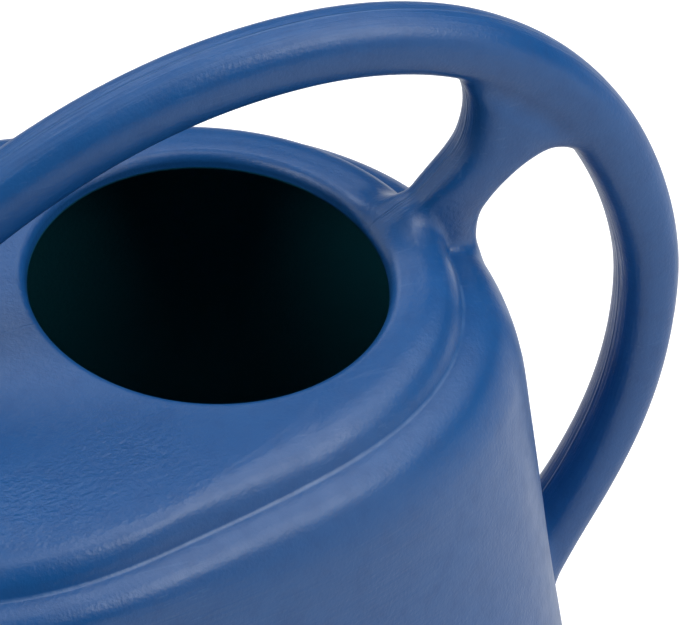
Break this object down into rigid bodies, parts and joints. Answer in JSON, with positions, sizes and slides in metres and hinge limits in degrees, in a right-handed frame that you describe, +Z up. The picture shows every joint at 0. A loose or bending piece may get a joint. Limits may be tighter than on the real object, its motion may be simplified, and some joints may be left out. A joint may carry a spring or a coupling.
{
  "type": "watering can",
  "caption": "Blow-moulded watering can with a wide filler opening, an arched handle with a rear grip and brace, a screwed-on spout and a turning rose.",
  "frame": {"origin": "middle of the whole can's box, on the surface that it stands on", "axes": "+Z up, the spout points to -X and the rear grip is at +X, and the can is symmetric about y = 0"},
  "size_m": [0.6456, 0.247, 0.3292],
  "materials": {
    "can_moulding": "satin, fine orange peel",
    "spout_plastic": "satin",
    "nut_plastic": "satin",
    "rose_plastic": "semi-gloss",
    "rubber_seal": "matt"
  },
  "bodies": {
    "can": {"tank": "can_moulding", "spout_neck": "can_moulding", "handle": "can_moulding", "handle_brace": "can_moulding"},
    "spout": {"spout": "spout_plastic", "spout_gasket": "rubber_seal"},
    "nut": {"spout_nut": "nut_plastic"},
    "rose_carrier": {"rose_seal": "rubber_seal"},
    "rose": {"rose_cup": "rose_plastic", "rose_face": "rose_plastic"}
  },
  "joints": [
    {"name": "spout_release", "type": "slide", "parent": "can", "child": "spout", "axis": [-0.9397, 0, 0.342], "range_m": [0, 0.03]},
    {"name": "nut_turn", "type": "hinge", "parent": "spout", "child": "nut", "pos_m": [-0.09967, 0, 0.09529], "axis": [-0.9397, 0, 0.342], "range_deg": [0, 540]},
    {"name": "rose_pull", "type": "slide", "parent": "spout", "child": "rose_carrier", "axis": [-0.7193, 0, 0.6947], "range_m": [0, 0.024]},
    {"name": "rose_turn", "type": "hinge", "parent": "rose_carrier", "child": "rose", "pos_m": [-0.26822, 0, 0.248], "axis": [-0.7193, 0, 0.6947], "continuous": true}
  ]
}
